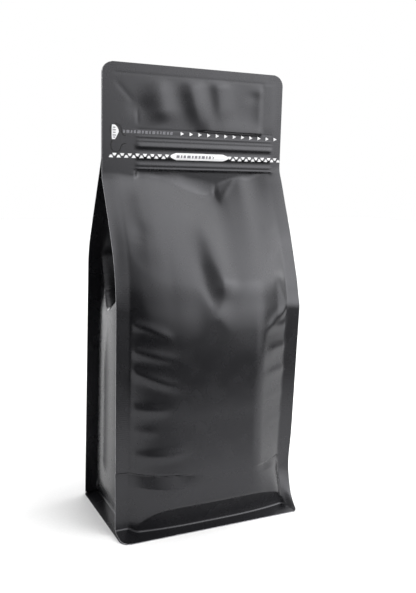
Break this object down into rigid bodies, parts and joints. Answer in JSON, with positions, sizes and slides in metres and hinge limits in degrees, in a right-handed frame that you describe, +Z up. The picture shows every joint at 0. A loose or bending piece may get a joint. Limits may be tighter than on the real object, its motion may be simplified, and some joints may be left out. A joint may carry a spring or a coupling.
{
  "type": "flat-bottom pouch",
  "caption": "Filled, shut flat-bottom pouch of matt dark film, with welded corner fins, sloping shoulders, a flat header with a press zipper and a flared base skirt.",
  "frame": {"origin": "middle of the base rectangle, on the floor", "axes": "+Z up along the pouch's height, -Y towards the printed front, +X to the right of a person who faces the front"},
  "size_m": [0.1406, 0.0954, 0.3264],
  "materials": {
    "matt_film": "matt laminated film, near black, soft sheen",
    "white_print": "white ink printed on the film"
  },
  "bodies": {
    "root": {"pouch": "matt_film"}
  },
  "joints": []
}
